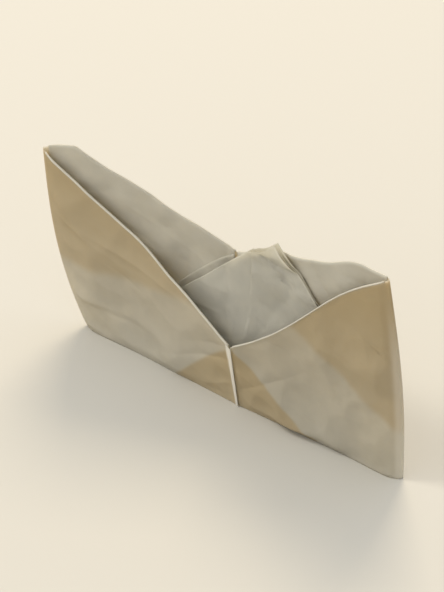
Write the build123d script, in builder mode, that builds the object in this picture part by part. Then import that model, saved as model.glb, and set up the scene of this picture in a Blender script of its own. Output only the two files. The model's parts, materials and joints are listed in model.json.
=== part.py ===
"""Folded paper boat, opened out and standing on its keel folds.

It is one rectangular sheet, folded. Every panel between two creases is a thin flat plate here,
and the creases that the boat opens and closes at are hinge lines. The four side panels form a
four-bar ring round the standing sail: bow crease, two centre creases and stern crease. All four
lines run to one point far below the keel, so the ring can open and close with flat panels. The
near panels meet at an open slit, where two edges of the sheet come together.

Frame: +X towards the stern, +Y towards the tall far side, +Z up, millimetres. The origin is at
the middle of the overall length, between the two sides, on the surface that the boat stands on.
"""

import os

from build123d import *

# The sheet
ply = 0.2                 # thickness of one layer of the limp paper
brim_width = 21.5         # turned-in brim, from the rim fold to its raw edge

# The hull, measured along the boat
keel_length = 73.4        # bow foot to stern foot
bow_overhang = 10.1       # the bow tip stands out past its foot
bow_height = 36.9
stern_inset = 3.7         # the stern tip leans in over its foot
stern_height = 44.0

# The hull, measured across the boat
half_beam = 4.5           # from the middle line to the foot of each centre crease
near_rim_height = 12.8    # the low point of the near rim, on its centre crease
far_rim_height = 29.2     # the low point of the far rim, on its centre crease

# The blunt corner of the far side at the bow
blunt_back = 6.7          # the corner stands this far aft of the bow tip
blunt_rise = 2.4          # and this far above it

# The sail, a triangle that stands in the middle plane
sail_aft = 5.9            # the apex stands this far aft of the keel's middle
sail_height = 39.5
sail_spread = 1.0         # each edge runs out this far for each millimetre that it falls

# The folds inside
gusset_spread = 1.18      # the gusset's slanted crease runs out this far for each millimetre
keel_fold_width = 1.2     # the flat of the fold that the hull stands on

# Clearances that let the creases turn
crease_gap = 0.6          # inner layers stop this far short of a centre crease
stem_gap = 8.0            # inner layers and the sail stop this far short of bow and stern
rim_gap = 0.3             # inner layers stop this far below a fold that they hang from
keel_gap = 0.5            # the brim and the gusset stop this far above the keel fold's floor
sail_lift = 2.0           # the sail's foot clears the keel folds by this height
keel_fold_gap = 15.0      # the keel folds stop this far short of bow and stern
slit_gap = 0.35           # each near panel stops this far short of the near centre crease

# Worked-out places
bow_foot_x = (bow_overhang - keel_length) / 2
stern_foot_x = bow_foot_x + keel_length
middle_x = (bow_foot_x + stern_foot_x) / 2
bow_slope = -bow_overhang / bow_height
stern_slope = -stern_inset / stern_height
focus_z = keel_length / (bow_slope - stern_slope)
focus = Vector(bow_foot_x + bow_slope * focus_z, 0, focus_z)

bow_foot = Vector(bow_foot_x, 0, 0)
stern_foot = Vector(stern_foot_x, 0, 0)
near_foot = Vector(middle_x, -half_beam, 0)
far_foot = Vector(middle_x, half_beam, 0)


def up_the_crease(foot, height):
    """The point at this height on the crease that rises from this foot."""
    return focus + (foot - focus) * ((height - focus.Z) / (foot.Z - focus.Z))


bow_tip = up_the_crease(bow_foot, bow_height)
stern_tip = up_the_crease(stern_foot, stern_height)
near_rim = up_the_crease(near_foot, near_rim_height)
far_rim = up_the_crease(far_foot, far_rim_height)


def wall_plane(first_foot, last_foot, outward):
    """The inner face of a side panel: it holds both of the panel's creases and faces outward."""
    along = last_foot - first_foot
    normal = along.cross(first_foot - focus)
    if normal.dot(outward) < 0:
        normal = normal * -1
    return Plane(origin=first_foot, x_dir=along, z_dir=normal)


def on_plane(plane, x, z):
    """The point of a plane that stands at this X and Z."""
    normal = plane.z_dir
    offset = normal.X * (x - plane.origin.X) + normal.Z * (z - plane.origin.Z)
    return Vector(x, plane.origin.Y - offset / normal.Y, z)


def flat(plane, points):
    """Points of the model as points of a sketch on the plane."""
    local = [plane.to_local_coords(point) for point in points]
    return [Vector(point.X, point.Y) for point in local]


def meet(point_a, along_a, point_b, along_b):
    """Where two lines of a sketch cross."""
    reach = (point_b - point_a).cross(along_b).Z / along_a.cross(along_b).Z
    return point_a + along_a * reach


def inset(corners, gaps):
    """A sketch outline with each side moved inward by its own gap, first side first."""
    sides = list(zip(corners, corners[1:] + corners[:1]))
    turn = 1 if sum(start.cross(end).Z for start, end in sides) > 0 else -1
    lines = []
    for (start, end), gap in zip(sides, gaps):
        along = (end - start).normalized()
        inward = Vector(-along.Y, along.X) * turn
        lines.append((start + inward * gap, along))
    return [meet(*before, *after) for before, after in zip(lines[-1:] + lines[:-1], lines)]


def layer(plane, lift, *outlines):
    """One ply of paper, this far off the plane, cut to what all of its sketch outlines share."""
    with BuildPart() as sheet:
        with BuildSketch(plane.offset(lift)):
            Polygon(*outlines[0], align=None)
            for outline in outlines[1:]:
                Polygon(*outline, align=None, mode=Mode.INTERSECT)
        extrude(amount=ply)
    return sheet


def write(sheet, name):
    """Label a finished piece and write it as a node."""
    sheet.part.label = name
    export_step(sheet.part, f"parts/{name}.step")


def rim_band(rim_start, rim_end, below):
    """A long strip of the brim's width on the keel's side of the rim line."""
    along = (rim_end - rim_start).normalized()
    across = Vector(-along.Y, along.X)
    if (below - rim_start).dot(across) < 0:
        across = across * -1
    start = rim_start - along * keel_length
    end = rim_end + along * keel_length
    return [start, end, end + across * brim_width, start + across * brim_width]


def side_panel(name, stem_foot, stem_top, centre_foot, centre_rim, outward, corner=None):
    """A quarter of the hull: the panel, and the brim, the gusset and the keel fold inside it.

    The outline runs from the stem's foot along the keel, up the centre crease, along the rim and
    down the stem. A corner is one more point of the rim, where a panel has a blunt end.
    """
    plane = wall_plane(stem_foot, centre_foot, outward)
    foot, keel_end, rim_low, tip = flat(plane, [stem_foot, centre_foot, centre_rim, stem_top])
    trim = slit_gap if centre_foot == near_foot else 0.0

    rim_end = tip
    outline = inset([foot, keel_end, rim_low, tip], [0, trim, 0, 0])
    if corner is not None:
        blunt = flat(plane, [corner])[0]
        rim_end = meet(rim_low, blunt - rim_low, foot, tip - foot)
        outline = [foot, keel_end, rim_low, blunt, tip]
    panel = layer(plane, 0, outline)
    with panel:
        split(bisect_by=Plane.XY)
    write(panel, f"{name}_panel")

    whole = [foot, keel_end, rim_low, rim_end]
    inside = inset(whole, [keel_gap, crease_gap, rim_gap, stem_gap])
    brim = layer(plane, -ply, inside, rim_band(rim_low, rim_end, foot))
    write(brim, f"{name}_brim")

    rise = rim_low - keel_end
    along_keel = (foot - keel_end).normalized()
    gusset_corner = keel_end + along_keel * (rise.length * gusset_spread)
    gusset = layer(plane, -2 * ply, inside, [keel_end, rim_low, gusset_corner])
    write(gusset, f"{name}_gusset")

    inward = Vector(0, -outward.Y, 0)
    strip = [stem_foot, centre_foot, centre_foot + inward * half_beam, stem_foot + inward * half_beam]
    strip = inset(strip, [-ply, 0, 0, keel_fold_gap])
    with BuildPart() as keel_fold:
        with BuildSketch():
            Polygon(*strip, align=None)
        extrude(amount=ply)
        split(bisect_by=plane, keep=Keep.BOTTOM)
        split(bisect_by=plane.offset(-keel_fold_width))
        split(bisect_by=Plane(centre_foot, z_dir=stem_foot - centre_foot).offset(crease_gap))
    write(keel_fold, f"{name}_keel_fold")


os.makedirs("parts", exist_ok=True)

# The hull
near_side = Vector(0, -1, 0)
far_side = Vector(0, 1, 0)
blunt_corner = on_plane(
    wall_plane(bow_foot, far_foot, far_side), bow_tip.X + blunt_back, bow_tip.Z + blunt_rise
)
side_panel("near_left", bow_foot, bow_tip, near_foot, near_rim, near_side)
side_panel("near_right", stern_foot, stern_tip, near_foot, near_rim, near_side)
side_panel("far_left", bow_foot, bow_tip, far_foot, far_rim, far_side, corner=blunt_corner)
side_panel("far_right", stern_foot, stern_tip, far_foot, far_rim, far_side)

# The sail: two plies with the turned-in corners of the sheet between them
sail_plane = Plane(origin=(0, 0, 0), x_dir=(1, 0, 0), z_dir=(0, -1, 0))
apex = Vector(middle_x + sail_aft, sail_height)
sail_run = sail_height * sail_spread
sail_middle = Vector(apex.X, 0)
sail_bow_corner = Vector(apex.X - sail_run, 0)
sail_stern_corner = Vector(apex.X + sail_run, 0)
between_stems = [
    Vector(point.X, point.Z)
    for point in (
        bow_foot,
        stern_foot,
        up_the_crease(stern_foot, sail_height),
        up_the_crease(bow_foot, sail_height),
    )
]
sail_room = inset(between_stems, [sail_lift, stem_gap, 0, stem_gap])

sail_outline = [apex, sail_bow_corner, sail_stern_corner]
sail_near_ply = layer(sail_plane, ply / 2, sail_outline, sail_room)
write(sail_near_ply, "sail_near_ply")
sail_far_ply = layer(sail_plane, -3 * ply / 2, sail_outline, sail_room)
write(sail_far_ply, "sail_far_ply")
for name, corner in (("left", sail_bow_corner), ("right", sail_stern_corner)):
    half = inset([apex, corner, sail_middle], [rim_gap, 0, crease_gap / 2])
    turned_corner = layer(sail_plane, -ply / 2, half, sail_room)
    write(turned_corner, f"sail_{name}_corner_ply")
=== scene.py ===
"""Folded paper boat: curved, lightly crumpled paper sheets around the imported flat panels.

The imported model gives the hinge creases, the tips and the rims. Every sheet here is a surface
worked out from them on a grid: straight across each panel, then bent where limp paper bends.
Lengths in the tables are millimetres, and the meshes are in metres.
"""

import json
import math

import bpy
import numpy as np
from bpy.props import FloatProperty, FloatVectorProperty, IntProperty, PointerProperty
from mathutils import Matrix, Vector


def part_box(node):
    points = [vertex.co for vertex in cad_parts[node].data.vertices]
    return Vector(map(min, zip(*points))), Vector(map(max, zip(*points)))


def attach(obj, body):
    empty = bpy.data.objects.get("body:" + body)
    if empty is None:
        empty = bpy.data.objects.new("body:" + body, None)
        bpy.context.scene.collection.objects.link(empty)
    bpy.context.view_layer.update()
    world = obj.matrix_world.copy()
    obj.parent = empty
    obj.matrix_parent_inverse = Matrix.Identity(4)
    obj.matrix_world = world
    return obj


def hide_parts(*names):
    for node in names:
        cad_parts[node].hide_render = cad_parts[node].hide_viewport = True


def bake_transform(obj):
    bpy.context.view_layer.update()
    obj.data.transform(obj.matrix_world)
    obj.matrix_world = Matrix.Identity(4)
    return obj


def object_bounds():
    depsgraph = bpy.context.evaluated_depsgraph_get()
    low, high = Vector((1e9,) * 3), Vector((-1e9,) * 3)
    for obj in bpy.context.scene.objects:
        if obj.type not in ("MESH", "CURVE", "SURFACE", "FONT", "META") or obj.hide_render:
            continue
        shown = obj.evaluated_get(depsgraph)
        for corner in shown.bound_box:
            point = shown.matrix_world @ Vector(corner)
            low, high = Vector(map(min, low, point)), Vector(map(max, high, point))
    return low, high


bl_info = {
    "name": "Folded Paper Boat",
    "version": (1, 0, 0),
    "blender": (4, 5, 0),
    "location": "View3D > Sidebar > Paper Boat",
    "description": "Builds the sheets of a folded paper boat around its packed panels",
    "category": "Add Mesh",
}

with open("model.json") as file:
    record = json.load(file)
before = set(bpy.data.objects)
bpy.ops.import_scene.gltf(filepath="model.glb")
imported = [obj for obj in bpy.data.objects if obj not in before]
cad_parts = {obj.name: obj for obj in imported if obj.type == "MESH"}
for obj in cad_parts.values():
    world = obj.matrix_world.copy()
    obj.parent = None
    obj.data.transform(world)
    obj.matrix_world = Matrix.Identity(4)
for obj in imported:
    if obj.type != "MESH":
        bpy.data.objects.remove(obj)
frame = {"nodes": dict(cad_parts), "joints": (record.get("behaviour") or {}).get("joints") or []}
cad_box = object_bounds()
MM = 0.001


# ---- The creases and corners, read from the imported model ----

def hinge(name):
    """A joint's foot and its rise: the line goes through foot + rise * height."""
    joint = next(j for j in frame["joints"] if j["name"] == name)
    axis = np.array(joint["axis"])
    return np.array(joint["pos_m"]), axis / axis[2]


def vertices(node):
    """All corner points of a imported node, as rows."""
    mesh = frame["nodes"][node].data
    points = np.empty(len(mesh.vertices) * 3)
    mesh.vertices.foreach_get("co", points)
    return points.reshape(-1, 3)


def top_of_crease(node, foot, rise):
    """Height of the node's highest corner that lies within a millimetre of a crease line."""
    points = vertices(node)
    away = np.linalg.norm(points - (foot + points[:, 2:] * rise), axis=1)
    return points[away < MM][:, 2].max()


bow_foot, bow_rise = hinge("bow_crease")
stern_foot, stern_rise = hinge("stern_crease")
far_foot, far_rise = hinge("far_centre_crease")
focus_height = (stern_foot[0] - bow_foot[0]) / (bow_rise[0] - stern_rise[0])
focus = bow_foot + bow_rise * focus_height
near_foot = bow_foot + stern_foot - far_foot
near_rise = (near_foot - focus) / -focus_height

bow_tip = bow_foot + bow_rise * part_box("near_left_panel")[1].z
stern_tip = stern_foot + stern_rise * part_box("near_right_panel")[1].z
near_rim = near_foot + near_rise * top_of_crease("near_right_panel", near_foot, near_rise)
far_rim = far_foot + far_rise * top_of_crease("far_right_panel", far_foot, far_rise)
blunt_corner = max(vertices("far_left_panel"), key=lambda point: point[2])
sail_low, sail_high = (np.array(corner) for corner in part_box("sail_near_ply"))
sail_points = vertices("sail_near_ply")
sail_apex = sail_points[sail_points[:, 2].argmax()] * np.array([1, 0, 1])

# Each quarter of the hull: its stem's foot and tip, the foot and rim of its centre crease, and the
# side that it faces. The foot and rim widths are how far limp paper really stands from the middle
# plane at the centre crease, in millimetres: the keel draws in and the rim spreads. A higher
# power keeps the walls closer together near the stem, and lean tips the rim inward.
slit_top = near_foot + np.array([-0.6 * MM, 0.0, near_rim[2] + 1.2 * MM])
PANELS = {
    "near_left": {
        "stem": (bow_foot, bow_tip), "centre": (near_foot, slit_top), "outward": -1.0,
        "rim": ((0.0, bow_tip), (1.0, slit_top)),
        "foot_width": 2.3, "rim_width": 3.3, "power": 1.5, "lean": 1.0, "gusset_reach": 15.3,
    },
    "far_left": {
        "stem": (bow_foot, bow_tip), "centre": (far_foot, far_rim), "outward": 1.0,
        "rim": ((0.0, bow_tip), (0.17, blunt_corner), (1.0, far_rim)),
        "foot_width": 2.9, "rim_width": 4.9, "power": 0.95, "lean": 0.0, "gusset_reach": 34.4,
    },
    "near_right": {
        "stem": (stern_foot, stern_tip), "centre": (near_foot, slit_top), "outward": -1.0,
        "rim": ((0.0, stern_tip), (1.0, slit_top)),
        "foot_width": 2.3, "rim_width": 3.3, "power": 1.2, "lean": 0.5, "gusset_reach": 19.1,
    },
    "far_right": {
        "stem": (stern_foot, stern_tip), "centre": (far_foot, far_rim), "outward": 1.0,
        "rim": ((0.0, stern_tip), (1.0, far_rim)),
        "foot_width": 2.9, "rim_width": 4.9, "power": 1.0, "lean": 0.0, "gusset_reach": 34.4,
    },
}
for panel in PANELS.values():
    panel["length"] = abs(panel["centre"][0][0] - panel["stem"][0][0]) / MM


# Lowest and highest place along the boat and up it that dents are spread over, in millimetres
SHEET_REACH = np.array([[-5.0, -5.0], [45.0, 50.0]])


# Layers and clearances, in millimetres
STEM_ROLL = 0.22            # radius of the hairpin at each stem
STERN_FOOT_ROLL = 0.42      # and how much rounder it grows towards the stern's foot
INNER_LAYERS = 0.62         # room that the inner layers take inside a wall
GUSSET_INWARD = 0.50        # the gusset lies this far inside its wall
LINING_ROOM = 0.80          # the sail keeps this far from a wall for its linings
CLOSING_ROOM = 0.64         # and this much more at the centre, where closing brings them near
PLY_APART = 0.32            # how far the sail's plies stand to each side in its spread
CORNER_DROP = 0.8           # the turned-in corners stop this far below the sail's edge
SAIL_END_GAP = 0.3          # the sail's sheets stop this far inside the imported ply
DENT_SPACING = 9.0          # broad dents, and the length of the long creases
PUCKER_SPACING = 4.2        # small dents between them
SAIL_DENT_SPACING = 8.0
HEAD_DENT_SPACING = 3.4

# Points along and up each grid
WALL_GRID = (150, 90)
SAIL_GRID = (150, 90)
BRIM_GRID = (130, 60)
GUSSET_GRID = (90, 50)
KEEL_FOLD_GRID = (90, 18)


# ---- What a user would change ----

class BoatPaper(bpy.types.PropertyGroup):
    # Known fault: closed_sheet scales this by MM again, so a sheet is a thousandth as thick
    thickness: FloatProperty(
        name="Thickness", description="Thickness of one layer of the paper", default=0.14 * MM,
        unit="LENGTH", precision=5)
    crumple: FloatProperty(
        name="Crumple", description="Height of the dents that handling leaves", default=0.42 * MM,
        unit="LENGTH", precision=5)
    brim_width: FloatProperty(
        name="Brim width", description="Width of the turned-in brim, from the rim to its raw edge",
        default=21.5 * MM, unit="LENGTH", precision=5)
    roll_radius: FloatProperty(
        name="Rim roll", description="Radius of the soft fold along the rim", default=0.21 * MM,
        unit="LENGTH", precision=5)
    bow_bulge: FloatProperty(
        name="Bow bulge", description="How far the bow's edge stands forward at mid height",
        default=2.6 * MM, unit="LENGTH", precision=5)
    stern_bulge: FloatProperty(
        name="Stern bulge", description="How far the stern's edge stands aft at mid height",
        default=1.3 * MM, unit="LENGTH", precision=5)
    slit_lap: FloatProperty(
        name="Slit lap", description="How far the near left sheet laps past the near slit",
        default=0.40 * MM, unit="LENGTH", precision=5)
    slit_gap: FloatProperty(
        name="Slit gap", description="How far the near right sheet stops short of the near slit",
        default=0.15 * MM, unit="LENGTH", precision=5)
    seed: IntProperty(name="Seed", description="Changes the pattern of dents", default=7, min=0)


class BoatColours(bpy.types.PropertyGroup):
    paper: FloatVectorProperty(
        name="Paper", description="Colour of the paper, as sRGB", subtype="COLOR_GAMMA", size=3,
        default=(0.90, 0.885, 0.83), min=0.0, max=1.0)
    floor: FloatVectorProperty(
        name="Floor", description="Colour of the floor, as sRGB", subtype="COLOR_GAMMA", size=3,
        default=(0.77, 0.755, 0.71), min=0.0, max=1.0)


# ---- Surfaces ----

def smooth_step(low, high, value):
    """Zero below low and one above high, with a soft S between them: 3x^2 - 2x^3."""
    x = np.clip((value - low) / (high - low), 0.0, 1.0)
    return x * x * (3.0 - 2.0 * x)


def polyline(knots, share):
    """Points along straight pieces between knots, each a (share, point) pair."""
    places = [place for place, _ in knots]
    points = np.array([point for _, point in knots])
    return np.stack([np.interp(share, places, points[:, axis]) for axis in range(3)], axis=-1)


def facets(across, up, seed, spacing):
    """Height of a lightly crumpled sheet, in spacings: shallow pits that meet in soft creases.

    Pits lie at random centres, about one to each square of the spacing. The height is the soft
    least of the distances to them, -log(sum(exp(-k d))) / k, where d is rounded off at its own
    centre and stretched at random, less its usual value.
    """
    random = np.random.default_rng(seed)
    count = int(np.prod(SHEET_REACH[1] - SHEET_REACH[0]) / spacing ** 2)
    centres = random.uniform(*SHEET_REACH, (count, 2))
    stretch = random.uniform(0.7, 1.4, count)
    away = np.hypot(across[..., None] - centres[:, 0], up[..., None] - centres[:, 1])
    away = np.sqrt(away ** 2 + (0.35 * spacing) ** 2) * stretch / spacing
    sharpness = 14.0
    return -np.log(np.exp(-sharpness * away).sum(axis=-1)) / sharpness - 0.45


def handling_creases(across, up, seed, count, length):
    """Height of long faint creases: each is exp(-|aside| / width) times a bell curve along it."""
    random = np.random.default_rng(seed)
    height = np.zeros_like(across)
    for _ in range(count):
        middle = random.uniform(*SHEET_REACH)
        turn = random.uniform(-0.9, 0.5)
        reach = length * random.uniform(0.5, 1.3)
        sign = random.choice((-1.0, 1.0)) * random.uniform(0.4, 1.0)
        along = (across - middle[0]) * math.cos(turn) + (up - middle[1]) * math.sin(turn)
        aside = (up - middle[1]) * math.cos(turn) - (across - middle[0]) * math.sin(turn)
        height += sign * np.exp(-np.abs(aside) / 0.9) * np.exp(-((along / reach) ** 2))
    return height


def below_gusset(name, share, height):
    """How far a point lies below the slanted gusset crease, in millimetres, and 0 above it.

    The crease falls straight from the rim at the centre to the keel, one reach towards the stem.
    """
    panel = PANELS[name]
    from_centre = (1.0 - share) * panel["length"]
    crease = panel["centre"][1][2] / MM * (1.0 - from_centre / panel["gusset_reach"])
    return np.clip(crease - height, 0.0, None) * (crease > 0)


def wall_width(name, share, rise):
    """Distance of a wall from the boat's middle plane, in millimetres.

    At the centre it runs straight from the foot's width to the rim's, and it falls towards the
    stem as share ^ power. A round hairpin at the stem of radius r, sqrt(2 r d exp(-d / 4)) at a
    distance d, and the room for the inner layers are added as squares. The rim leans in by a bell
    along the wall times rise squared.
    """
    panel = PANELS[name]
    away = share * panel["length"]
    centre = panel["foot_width"] + (panel["rim_width"] - panel["foot_width"]) * rise
    profile = centre * share ** panel["power"]
    radius = STEM_ROLL
    if name.endswith("right"):
        radius = STEM_ROLL + STERN_FOOT_ROLL * smooth_step(1.0, 0.2, rise)
    hairpin = 2.0 * radius * away * np.exp(-away / 4.0)
    layers = INNER_LAYERS * smooth_step(0.0, 2.5, away)
    width = np.sqrt(profile ** 2 + hairpin + layers ** 2)
    return width - panel["lean"] * np.sin(np.pi * share) ** 1.3 * rise ** 2


def keel_point(panel, share):
    """Points of a panel's keel line: stem foot + (centre foot - stem foot) * share."""
    foot, centre_foot = panel["stem"][0], panel["centre"][0]
    return foot + (centre_foot - foot) * share[..., None]


def rim_wave(name, share):
    """How far handling has pushed a rim above its straight line, in millimetres.

    The near right rim is an S, a whole sine wave along the wall. The far right rim has two bell
    shaped bumps, one near the sail's head and one near the stern, on a low bow. The left rims
    ripple by a quarter of a millimetre.
    """
    if name == "near_right":
        return 1.3 * np.sin(2 * np.pi * share)
    if name == "far_right":
        by_sail = np.exp(-((share - 0.77) / 0.10) ** 2)
        by_stern = np.exp(-((share - 0.25) / 0.12) ** 2)
        return 1.6 * by_sail + 1.3 * by_stern + 1.0 * np.sin(np.pi * share)
    return 0.25 * np.sin(5 * np.pi * share) * np.sin(np.pi * share)


def wall_point(name, share, rise, inward=0.0, crumpled=True):
    """Points of a side wall, limp paper bent out of its flat panel.

    share runs from the stem (0) to the centre crease (1) and rise from the keel (0) to the rim
    (1), and both are arrays of one shape. In side view a point is keel + (rim - keel) * rise,
    where a share past 1 runs straight on along the keel. The stem's edge bows out by a half sine
    that dies away as (1 - share)^4, and the rim's wave grows with rise squared. Across the boat
    it is the wall's width with its dents and creases, drawn in below the gusset crease, and
    inward sinks a lining below it. Dents fade out at the stem, the keel, the centre and the rim.
    """
    paper = bpy.context.scene.boat_paper
    panel = PANELS[name]
    foot, centre_foot = panel["stem"][0], panel["centre"][0]
    beyond = np.clip(share - 1.0, 0.0, None)[..., None]
    share = np.clip(share, 0.0, 1.0)
    keel = keel_point(panel, share)
    point = keel + (polyline(panel["rim"], share) - keel) * rise[..., None]
    point = point + (centre_foot - foot) * beyond
    at_bow = name.endswith("left")
    bulge = -paper.bow_bulge if at_bow else paper.stern_bulge
    hump = np.sin(np.pi * np.clip(rise, 0, 1) ** (0.8 if at_bow else 0.9))
    point[..., 0] += bulge * hump * (1.0 - share) ** 4
    point[..., 2] += rim_wave(name, share) * MM * rise ** 2

    across = share * panel["length"]
    height = point[..., 2] / MM
    width = wall_width(name, share, rise)
    slant = below_gusset(name, share, height)
    width = width - 0.05 * slant
    if crumpled:
        seed = paper.seed * 10 + sorted(PANELS).index(name)
        fade = smooth_step(0.0, 4.0, across) * smooth_step(0.0, 2.0, height)
        fade = fade * smooth_step(0.0, 2.5, panel["length"] - across) * (1.0 - 0.7 * rise ** 6)
        broad = 4.2 * facets(across, height, seed, DENT_SPACING)
        rough = broad + 1.8 * facets(across, height, seed + 50, PUCKER_SPACING)
        rough = rough + 1.2 * handling_creases(across, height, seed + 90, 18, DENT_SPACING)
        width = width + paper.crumple / MM * fade * rough
    point[..., 1] = panel["outward"] * (width - inward) * MM
    return point


def room_at(name, x, z):
    """Free width from the middle plane to a wall's lining, in millimetres, at places x and z.

    The wall's own share and rise for those places are found by five corrections: each moves the
    share by the distance left in x over the wall's length. The rise is z over the rim's height.
    The linings take their room, and closing the boat takes more towards the centre.
    """
    panel = PANELS[name]
    towards_centre = 1.0 if name.endswith("left") else -1.0
    share = np.clip(np.abs(x - panel["stem"][0][0]) / MM / panel["length"], 0.0, 1.0)
    for _ in range(5):
        rise = np.clip(z / polyline(panel["rim"], share)[..., 2], 0.0, 1.0)
        point = wall_point(name, share, rise)
        left_over = towards_centre * (x - point[..., 0]) / MM / panel["length"]
        share = np.clip(share + left_over, 0.0, 1.0)
    return panel["outward"] * point[..., 1] / MM - LINING_ROOM - CLOSING_ROOM * share


def closed_sheet(name, points, thickness):
    """A thin closed shell round a grid of points, the same distance to each side.

    The normal at each grid point is the cross product of the grid's two directions there.

    Known fault: thickness is in metres already and is scaled by MM once more, so a shell meant to
    be 0.14 mm thick comes out 0.00014 mm thick. The mend is half = normal * (thickness / 2).
    """
    by_row = np.gradient(points, axis=0)
    by_column = np.gradient(points, axis=1)
    normal = np.cross(by_row, by_column)
    normal /= np.linalg.norm(normal, axis=-1, keepdims=True) + 1e-12
    half = normal * (thickness * MM / 2)
    rows, columns = points.shape[:2]
    front = np.arange(rows * columns).reshape(rows, columns)
    back = front + rows * columns
    quads = [
        np.stack([front[:-1, :-1], front[1:, :-1], front[1:, 1:], front[:-1, 1:]], axis=-1),
        np.stack([back[:-1, :-1], back[:-1, 1:], back[1:, 1:], back[1:, :-1]], axis=-1),
    ]
    ring = np.concatenate([front[:-1, 0], front[-1, :-1], front[:0:-1, -1], front[0, :0:-1]])
    behind = ring + rows * columns
    ring_next, behind_next = np.roll(ring, -1), np.roll(behind, -1)
    edge = np.stack([ring, behind, behind_next, ring_next], axis=-1)
    faces = np.concatenate([quad.reshape(-1, 4) for quad in quads] + [edge])
    both = np.concatenate([(points + half).reshape(-1, 3), (points - half).reshape(-1, 3)])

    mesh = bpy.data.meshes.new(name)
    mesh.from_pydata(both.tolist(), [], faces.tolist())
    mesh.update()
    smooth = np.ones(len(faces), dtype=bool)
    smooth[-len(edge):] = False
    mesh.polygons.foreach_set("use_smooth", smooth)
    piece = bpy.data.objects.new(name, mesh)
    bpy.context.scene.collection.objects.link(piece)
    mesh.materials.append(paper_material())
    return piece


def store_marks(piece, highlight_and_wear, painted_shade):
    """Keep each grid point's fold wear with its painted highlight, and its painted shade, on both
    faces of a sheet.
    """
    for name, values in (("wear_and_painted_highlight", highlight_and_wear), ("painted_shade", painted_shade)):
        attribute = piece.data.attributes.new(name, "FLOAT", "POINT")
        both = np.tile(np.clip(values, 0.0, 1.0).ravel(), 2)
        attribute.data.foreach_set("value", both.astype(np.float32))


# ---- Materials ----

def linear(colour):
    """sRGB to linear: c / 12.92 up to 0.04045, and ((c + 0.055) / 1.055) ^ 2.4 above."""
    if isinstance(colour, str):
        colour = [int(colour[place:place + 2], 16) / 255 for place in (1, 3, 5)]
    c = np.array(colour[:3], dtype=float)
    value = np.where(c <= 0.04045, c / 12.92, ((c + 0.055) / 1.055) ** 2.4)
    return (*value.tolist(), 1.0)


def add_node(tree, kind, settings=(), values=(), links=()):
    """Add a node, set its properties and socket values, and link its inputs."""
    node = tree.nodes.new(kind)
    for key, value in dict(settings).items():
        setattr(node, key, value)
    for key, value in dict(values).items():
        node.inputs[key].default_value = value
    for key, output in dict(links).items():
        tree.links.new(output, node.inputs[key])
    return node


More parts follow.
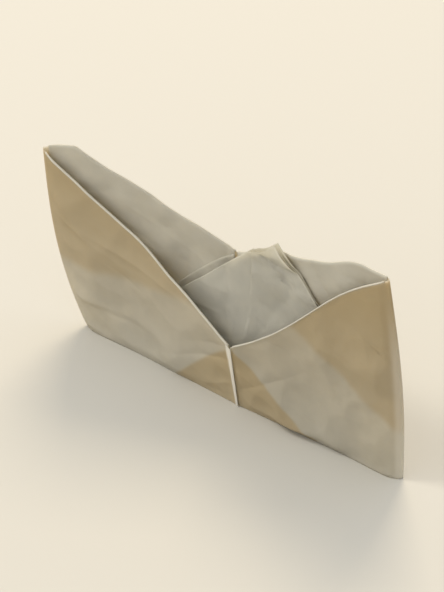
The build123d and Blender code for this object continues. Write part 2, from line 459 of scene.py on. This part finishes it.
def paper_material():
    """Thin uncoated writing paper, folded by hand: soft matt fibres that let light through.

    The eye sees a chalky surface with a fine tooth and very faint clouds of denser fibre. A darker,
    browner painted shade is laid on where inner layers back a wall and towards the near rims, and
    a near white, partly fold wear and partly painted highlight, along the slit's lip, the rims and
    the stems.
    """
    material = bpy.data.materials.get("uncoated_writing_paper")
    if material:
        return material
    material = bpy.data.materials.new("uncoated_writing_paper")
    material.use_nodes = True
    tree = material.node_tree
    tree.nodes.clear()
    colours = bpy.context.scene.boat_colours
    paper = linear(colours.paper)
    dense = linear([channel * 0.975 for channel in colours.paper])
    # Painted shade: the paper darkened and browned where less light comes through it
    shaded_paper_colour = linear([channel * share for channel, share in zip(colours.paper, (0.93, 0.845, 0.66))])
    # Near white, partly fold wear and partly painted highlight
    worn_and_lit_white = linear("#fffbf0")

    place = add_node(tree, "ShaderNodeTexCoord")
    at = place.outputs["Object"]
    # Fibre clouds about 4 mm across, as in cheap thin paper held to the light
    clouds = add_node(tree, "ShaderNodeTexNoise",
                      values={"Scale": 1 / (4.0 * MM), "Detail": 4.0, "Roughness": 0.55},
                      links={"Vector": at})
    # Real tooth is about 0.05 mm; it is drawn at 0.25 mm so that it shows
    tooth = add_node(tree, "ShaderNodeTexNoise",
                     values={"Scale": 1 / (0.25 * MM), "Detail": 3.0, "Roughness": 0.6},
                     links={"Vector": at})
    # Soft cockling about 6 mm across, which damp hands leave
    soft = add_node(tree, "ShaderNodeTexNoise",
                    values={"Scale": 1 / (6.0 * MM), "Detail": 2.0, "Distortion": 0.8},
                    links={"Vector": at})
    cloud_share = add_node(tree, "ShaderNodeMapRange",
                           values={"From Min": 0.35, "From Max": 0.65},
                           links={"Value": clouds.outputs["Fac"]})
    base = add_node(tree, "ShaderNodeMix", settings={"data_type": "RGBA"},
                    values={"A": dense, "B": paper},
                    links={"Factor": cloud_share.outputs["Result"]})
    # Painted shade, mixed in by the mark stored on each sheet
    painted_shade = add_node(tree, "ShaderNodeAttribute", settings={"attribute_name": "painted_shade"})
    with_painted_shade = add_node(tree, "ShaderNodeMix", settings={"data_type": "RGBA"},
                       values={"B": shaded_paper_colour},
                       links={"Factor": painted_shade.outputs["Fac"], "A": base.outputs["Result"]})
    # Fold wear with a painted highlight, by the mark stored on each sheet
    highlight_and_wear = add_node(tree, "ShaderNodeAttribute", settings={"attribute_name": "wear_and_painted_highlight"})
    colour = add_node(tree, "ShaderNodeMix", settings={"data_type": "RGBA"},
                      values={"B": worn_and_lit_white},
                      links={"Factor": highlight_and_wear.outputs["Fac"], "A": with_painted_shade.outputs["Result"]})
    rough = add_node(tree, "ShaderNodeMapRange",
                     values={"To Min": 0.82, "To Max": 0.94},
                     links={"Value": tooth.outputs["Fac"]})
    fine_bump = add_node(tree, "ShaderNodeBump", values={"Strength": 0.14, "Distance": 0.05 * MM},
                         links={"Height": tooth.outputs["Fac"]})
    bump = add_node(tree, "ShaderNodeBump", values={"Strength": 0.30, "Distance": 0.4 * MM},
                    links={"Height": soft.outputs["Fac"], "Normal": fine_bump.outputs["Normal"]})
    face = add_node(tree, "ShaderNodeBsdfPrincipled",
                    values={"IOR": 1.47, "Specular IOR Level": 0.3},
                    links={"Base Color": colour.outputs["Result"],
                           "Roughness": rough.outputs["Result"],
                           "Normal": bump.outputs["Normal"]})
    through = add_node(tree, "ShaderNodeBsdfTranslucent",
                       links={"Color": colour.outputs["Result"], "Normal": bump.outputs["Normal"]})
    both = add_node(tree, "ShaderNodeMixShader", values={"Fac": 0.50})
    tree.links.new(face.outputs["BSDF"], both.inputs[1])
    tree.links.new(through.outputs["BSDF"], both.inputs[2])
    output = add_node(tree, "ShaderNodeOutputMaterial")
    tree.links.new(both.outputs["Shader"], output.inputs["Surface"])
    return material


def floor_material():
    """Matt painted board: an even pale surface."""
    material = bpy.data.materials.new("matt_painted_board")
    material.use_nodes = True
    face = material.node_tree.nodes["Principled BSDF"]
    face.inputs["Base Color"].default_value = linear(bpy.context.scene.boat_colours.floor)
    face.inputs["Roughness"].default_value = 0.7
    return material


# ---- The pieces ----

def painted_layer_shade(name, share, point):
    """How much painted shade darkens a wall, from 0 to 1.

    The painted shade stands in for the light that more layers would hold back: above a line that
    starts on the stem, where the turned-in brim backs the wall, and below the slanted crease, where
    the gusset backs it and the sheet is thickest. The near walls also get a painted shade that
    grows from the keel towards the rim.
    """
    panel = PANELS[name]
    height = point[..., 2] / MM
    away = share * panel["length"]
    start, slope = (13.8, 0.17) if name.endswith("left") else (10.7, 0.60)
    # Painted shade above the brim's line and below the gusset crease
    brim = smooth_step(-1.2, 1.2, height - start - slope * away)
    gusset = smooth_step(0.0, 0.9, below_gusset(name, share, height))
    near_side = name.startswith("near")
    # Painted shade on the near walls, heavier towards the rim, where less light falls
    side = 0.14 + 0.36 * np.clip(height / 37.0, 0.0, 1.0) if near_side else 0.0
    return side + 0.30 * brim + 0.50 * gusset * (1.0 if near_side else 0.4)


def half_hull(name, near, far):
    """One folded sheet round a stem, from the near slit round to the far centre crease.

    Its grid is the near wall reversed and then the far wall, so that the stem's column of points
    is shared and the fold is continuous. At the slit the near left sheet laps over the near
    right one and stands out by a soft step, and a painted highlight makes its edge a bright line.
    A near white that is partly fold wear and partly painted highlight runs along the rim and the stem.
    """
    paper = bpy.context.scene.boat_paper
    share = np.linspace(0.0, 1.0, WALL_GRID[0]) ** 1.2
    rise = np.linspace(0.0, 1.0, WALL_GRID[1])
    length = PANELS[near]["length"]
    lapping = near == "near_left"
    past_slit = paper.slit_lap if lapping else -paper.slit_gap
    near_share = share[::-1] * (1.0 + past_slit / MM / length)
    near_grid = np.meshgrid(near_share, rise, indexing="ij")
    far_grid = np.meshgrid(share[1:], rise, indexing="ij")
    near_wall = wall_point(near, *near_grid)
    far_wall = wall_point(far, *far_grid)
    from_slit = (near_share[0] - near_grid[0]) * length
    near_wall[..., 1] -= (0.34 if lapping else 0.0) * MM * smooth_step(1.3, 0.2, from_slit)
    points = np.concatenate([near_wall, far_wall])
    piece = closed_sheet(name, points, paper.thickness)

    stem = np.concatenate([near_grid[0], far_grid[0]]) * length
    rim = np.concatenate([near_grid[1], far_grid[1]])
    slit = np.concatenate([from_slit, np.full_like(far_grid[0], length)])
    # Painted highlight: a bright band on the lapping edge at the slit, and a near white along the rim,
    # partly fold wear
    highlight_band = (0.75 + 0.65 * rim) if lapping else 0.0
    highlight_and_wear = smooth_step(highlight_band + 0.12, highlight_band - 0.12, slit) + 0.6 * smooth_step(0.985, 1.0, rim)
    # Painted highlight, partly fold wear, on the lower part of the rounded stern's stem and faintly on
    # the bow's stem
    if name.startswith("stern"):
        highlight_and_wear = highlight_and_wear + 0.45 * np.exp(-(stem / 1.1) ** 4) * smooth_step(1.0, 0.55, rim)
    else:
        highlight_and_wear = highlight_and_wear + 0.25 * np.exp(-(stem / 0.3) ** 2)
    # Painted shade on both walls of the sheet
    painted_shade = np.concatenate([painted_layer_shade(near, near_grid[0], near_wall),
                              painted_layer_shade(far, far_grid[0], far_wall)])
    store_marks(piece, highlight_and_wear, painted_shade)
    return piece


class OBJECT_OT_boat_bow(bpy.types.Operator):
    """Fold the bow half of the hull: near left and far left panels in one sheet."""

    bl_idname = "object.boat_bow"
    bl_label = "Bow half"

    def execute(self, context):
        piece = half_hull("bow_half_sheet", "near_left", "far_left")
        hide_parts("near_left_panel", "far_left_panel")
        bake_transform(piece)
        return {"FINISHED"}


class OBJECT_OT_boat_stern(bpy.types.Operator):
    """Fold the stern half of the hull: near right and far right panels in one sheet."""

    bl_idname = "object.boat_stern"
    bl_label = "Stern half"

    def execute(self, context):
        piece = half_hull("stern_half_sheet", "near_right", "far_right")
        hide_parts("near_right_panel", "far_right_panel")
        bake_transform(piece)
        return {"FINISHED"}


def rise_below_rim(name, share, drop):
    """The rise at which a sheet lies this far below the rim, at each share of a wall."""
    panel = PANELS[name]
    keel = keel_point(panel, share)
    height = np.linalg.norm(polyline(panel["rim"], share) - keel, axis=-1) / MM
    return np.clip(1.0 - drop / height, 0.0, 1.0)


def inner_end(name):
    """The share at which the inner layers stop, short of the centre crease or the slit."""
    return {"near_right": 0.982}.get(name, 0.992)


class OBJECT_OT_boat_brims(bpy.types.Operator):
    """Line each wall with its turned-in brim, rolled over the rim, down to its raw edge."""

    bl_idname = "object.boat_brims"
    bl_label = "Brims"

    def execute(self, context):
        for name in PANELS:
            points = self.brim_points(name)
            piece = closed_sheet(f"{name}_brim_sheet", points, context.scene.boat_paper.thickness)
            row = np.broadcast_to(np.arange(points.shape[1]), points.shape[:2])
            # Painted highlight on the rolled rim, partly fold wear, stronger on the near walls
            on_roll = smooth_step(-11, -7, row - points.shape[1])
            highlight_and_wear = (0.45 if name.startswith("near") else 0.2) * on_roll
            store_marks(piece, highlight_and_wear, np.zeros(points.shape[:2]))
            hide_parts(f"{name}_brim")
            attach(piece, name)
        return {"FINISHED"}

    def brim_points(self, name):
        """The lining, and then a half roll over the rim.

        The lining lies two radii inside the wall. The roll goes round from there to just outside
        the wall along a half circle, and tucks under by half a radius.
        """
        paper = bpy.context.scene.boat_paper
        radius = paper.roll_radius / MM
        share_line = np.linspace(0.022, inner_end(name), BRIM_GRID[0])
        drop_line = np.linspace(paper.brim_width / MM * 1.15, 0.0, BRIM_GRID[1])
        share, drop = np.meshgrid(share_line, drop_line, indexing="ij")
        rise = np.maximum(rise_below_rim(name, share, drop), 0.045)
        room = smooth_step(0.0, 0.06, share)
        lining = wall_point(name, share, rise, inward=0.30 * room + 0.05)
        turn = np.linspace(0.0, math.pi, 9)[1:]
        share_roll, roll = np.meshgrid(share_line, turn, indexing="ij")
        room = smooth_step(0.0, 0.06, share_roll)
        inward = (0.35 - radius) + radius * np.cos(roll) - 0.10
        inward = inward * (0.4 + 0.6 * room)
        rolled = wall_point(name, share_roll, np.ones_like(share_roll), inward=inward)
        tuck = 0.5 * radius * smooth_step(math.pi * 0.6, math.pi, roll)
        rolled[..., 2] += (radius * np.sin(roll) - tuck) * MM
        return np.concatenate([lining, rolled], axis=1)


class OBJECT_OT_boat_gussets(bpy.types.Operator):
    """Lay the inner sheet's gussets against the lining, down to the keel."""

    bl_idname = "object.boat_gussets"
    bl_label = "Gussets"

    def execute(self, context):
        for name, panel in PANELS.items():
            reach = min(panel["gusset_reach"] / panel["length"], 0.78)
            share_line = np.linspace(1.0 - reach, inner_end(name), GUSSET_GRID[0])
            part_line = np.linspace(0.0, 1.0, GUSSET_GRID[1])
            share, part = np.meshgrid(share_line, part_line, indexing="ij")
            top = np.clip((share - (1.0 - reach)) / reach, 0.03, 0.985)
            rise = 0.025 + (top - 0.025) * part
            points = wall_point(name, share, rise, inward=GUSSET_INWARD)
            piece = closed_sheet(f"{name}_gusset_sheet", points, context.scene.boat_paper.thickness)
            # A faint painted shade on the gussets
            store_marks(piece, np.zeros_like(part), np.full_like(part, 0.05))
            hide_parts(f"{name}_gusset")
            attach(piece, name)
        return {"FINISHED"}


class OBJECT_OT_boat_keel_folds(bpy.types.Operator):
    """Turn each wall's foot in: a round fold that rises inside as the inner sheet's start."""

    bl_idname = "object.boat_keel_folds"
    bl_label = "Keel folds"

    def execute(self, context):
        for name, panel in PANELS.items():
            share_line = np.linspace(7.0 / panel["length"], inner_end(name), KEEL_FOLD_GRID[0])
            part_line = np.linspace(0.0, 1.0, KEEL_FOLD_GRID[1])
            share, part = np.meshgrid(share_line, part_line, indexing="ij")
            # A quarter round from the wall's foot inward, then a straight rise of 1.6 mm
            angle = np.clip(part * 2, 0, 1) * math.pi / 2
            room = np.clip(share * panel["foot_width"] * 0.45, 0.25, 0.9)
            points = wall_point(name, share, np.full_like(share, 0.004), room * np.sin(angle), False)
            straight = 1.6 * np.clip(part * 2 - 1, 0, 1)
            points[..., 2] = (0.08 + 0.35 * (1 - np.cos(angle)) + straight) * MM
            piece = closed_sheet(f"{name}_keel_fold_sheet", points, context.scene.boat_paper.thickness)
            # Painted shade on the keel folds, low inside the walls
            store_marks(piece, np.zeros_like(part), np.full_like(part, 0.3))
            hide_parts(f"{name}_keel_fold")
            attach(piece, name)
        return {"FINISHED"}


class OBJECT_OT_boat_sail(bpy.types.Operator):
    """Stand the sail up: a narrow tent of two plies with the turned-in corners between them."""

    bl_idname = "object.boat_sail"
    bl_label = "Sail"

    def execute(self, context):
        paper = context.scene.boat_paper
        gap = SAIL_END_GAP * MM
        low, high = sail_low[0] + gap, sail_high[0] - gap
        apex = sail_apex[0]
        for node, span, depth, drop in (
            ("sail_near_ply", (low, high), -PLY_APART, 0.0),
            ("sail_far_ply", (low, high), PLY_APART, 0.0),
            ("sail_left_corner_ply", (low + MM, apex - gap), 0.0, CORNER_DROP),
            ("sail_right_corner_ply", (apex + gap, high - MM), 0.0, CORNER_DROP),
        ):
            x_line = np.linspace(*span, SAIL_GRID[0])
            x, part = np.meshgrid(x_line, np.linspace(0.0, 1.0, SAIL_GRID[1]), indexing="ij")
            points = self.ply_points(x, part, depth, drop)
            piece = closed_sheet(f"{node}_sheet", points, paper.thickness)
            # Fold wear with a painted highlight along the aft part of the sail's slanted edge
            aft_edge = smooth_step(0.975, 1.0, part) * (x > apex)
            store_marks(piece, 0.3 * aft_edge, np.zeros_like(part))
            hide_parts(node)
            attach(piece, "sail")
        return {"FINISHED"}

    def ply_points(self, x, part, depth, drop):
        """One ply: along the sail's foot and up to its slanted edge.

        The flat point is foot + (edge - foot) * part, with the edge at apex height less the
        distance from the apex and less drop. Across the boat, the ply stands between the two
        walls at a share that grows upward and falls back at the head: the plies spread at the
        foot like a tent and lean together on the far side above. The head droops by 1.5 mm and
        is bent over a crease: a soft step of 0.8 mm. Nothing passes the free room at either wall.
        """
        paper = bpy.context.scene.boat_paper
        low = sail_low[2]
        edge = sail_apex[2] - np.abs(x - sail_apex[0]) - drop * MM
        edge = np.maximum(edge, low + 0.2 * MM)
        z = low + (edge - low) * part
        before_centre = x < near_foot[0]
        near = np.where(before_centre, room_at("near_left", x, z), room_at("near_right", x, z))
        far = np.where(before_centre, room_at("far_left", x, z), room_at("far_right", x, z))
        head = smooth_step(sail_apex[2] - 9 * MM, sail_apex[2] - MM, z)
        start = 0.52 + 0.95 * depth
        lean = start + (0.97 - start) * smooth_step(2 * MM, 21 * MM, z) * (1.0 - 0.55 * head)
        across = -near + (near + far) * lean
        spread = 0.6 * depth

        crease = sail_apex[2] / MM - 5.9 - 0.28 * (x / MM - 7.5)
        above = z / MM - crease
        near_head = smooth_step(4.0, 9.0, x / MM) * smooth_step(25.0, 19.0, x / MM)
        bend = near_head * (0.8 * smooth_step(-0.5, 0.5, above) - 0.12 * np.clip(above, 0.0, 3.0))
        soft = 0.5 * facets(x / MM, z / MM, paper.seed * 10 + 3, SAIL_DENT_SPACING)
        small = facets(x / MM, z / MM, paper.seed * 10 + 5, HEAD_DENT_SPACING)
        soft = soft + near_head * 2.2 * small * (above > -2)
        soft = soft * paper.crumple / MM * smooth_step(0.0, 2.0, near + far)
        drooped = z - 1.5 * MM * smooth_step(0.0, 1.0, head) ** 2
        centre = (far - near) / 2
        room = np.maximum((far + near) / 2, 0.0)
        kept = centre + np.clip(across + spread + bend + soft - centre, -room, room)
        return np.stack([x, (kept + 0.5 * depth) * MM, drooped], axis=-1)


# ---- The stage ----

def aim(thing, place, target):
    """Put a thing at a place, with its -Z axis towards the target and its top up."""
    direction = Vector(target) - Vector(place)
    thing.location = place
    thing.rotation_mode = "QUATERNION"
    thing.rotation_quaternion = direction.to_track_quat("-Z", "Y")


class OBJECT_OT_boat_stage(bpy.types.Operator):
    """Lay the floor, hang the lights and set the camera."""

    bl_idname = "object.boat_stage"
    bl_label = "Stage"

    def execute(self, context):
        low, high = (np.array(corner) for corner in cad_box)
        target = (low + high) / 2
        floor_half = 3.0
        mesh = bpy.data.meshes.new("floor")
        corners = np.array([[-1, -1, 0], [1, -1, 0], [1, 1, 0], [-1, 1, 0]]) * floor_half
        mesh.from_pydata(corners.tolist(), [], [(0, 1, 2, 3)])
        mesh.materials.append(floor_material())
        floor = bpy.data.objects.new("floor", mesh)
        context.scene.collection.objects.link(floor)

        for name, place, side, power, colour in (
            ("window_light", (-0.45, 0.75, 0.85), 0.50, 9.0, "#ffedd0"),
            ("sky_fill", (-0.75, -0.42, 0.95), 0.35, 6.0, "#fffaf0"),
        ):
            data = bpy.data.lights.new(name, "AREA")
            data.size = side
            data.energy = power
            data.color = linear(colour)[:3]
            lamp = bpy.data.objects.new(name, data)
            context.scene.collection.objects.link(lamp)
            aim(lamp, place, target)

        world = bpy.data.worlds.new("soft_room")
        context.scene.world = world
        world.use_nodes = True
        background = world.node_tree.nodes["Background"]
        background.inputs["Color"].default_value = linear("#f1f3f8")
        background.inputs["Strength"].default_value = 0.92

        turn, tilt, distance = math.radians(37.9), math.radians(38.0), 1.4
        toward = np.array([math.sin(turn) * math.cos(tilt),
                           -math.cos(turn) * math.cos(tilt), math.sin(tilt)])
        data = bpy.data.cameras.new("camera")
        data.sensor_width = 36.0
        data.sensor_fit = "HORIZONTAL"
        data.lens = 620.0
        context.scene.view_settings.view_transform = "Standard"
        camera = bpy.data.objects.new("camera", data)
        context.scene.collection.objects.link(camera)
        aim(camera, target + toward * distance, target)
        data.dof.use_dof = False
        context.scene.camera = camera
        return {"FINISHED"}


class VIEW3D_PT_boat(bpy.types.Panel):
    """The boat's pieces, in the order that they are folded."""

    bl_label = "Paper Boat"
    bl_idname = "VIEW3D_PT_boat"
    bl_space_type = "VIEW_3D"
    bl_region_type = "UI"
    bl_category = "Paper Boat"

    def draw(self, context):
        for name in BoatPaper.__annotations__:
            self.layout.prop(context.scene.boat_paper, name)
        for name in BoatColours.__annotations__:
            self.layout.prop(context.scene.boat_colours, name)
        for operator in OPERATORS:
            self.layout.operator(operator.bl_idname)


OPERATORS = (
    OBJECT_OT_boat_stage,
    OBJECT_OT_boat_bow,
    OBJECT_OT_boat_stern,
    OBJECT_OT_boat_brims,
    OBJECT_OT_boat_gussets,
    OBJECT_OT_boat_keel_folds,
    OBJECT_OT_boat_sail,
)
CLASSES = (BoatPaper, BoatColours, *OPERATORS, VIEW3D_PT_boat)


def register():
    for each in CLASSES:
        bpy.utils.register_class(each)
    bpy.types.Scene.boat_paper = PointerProperty(type=BoatPaper)
    bpy.types.Scene.boat_colours = PointerProperty(type=BoatColours)


def unregister():
    del bpy.types.Scene.boat_colours
    del bpy.types.Scene.boat_paper
    for each in reversed(CLASSES):
        bpy.utils.unregister_class(each)


def main():
    register()
    bpy.ops.object.boat_stage()
    bpy.ops.object.boat_bow()
    bpy.ops.object.boat_stern()
    bpy.ops.object.boat_brims()
    bpy.ops.object.boat_gussets()
    bpy.ops.object.boat_keel_folds()
    bpy.ops.object.boat_sail()


if __name__ == "__main__":
    main()
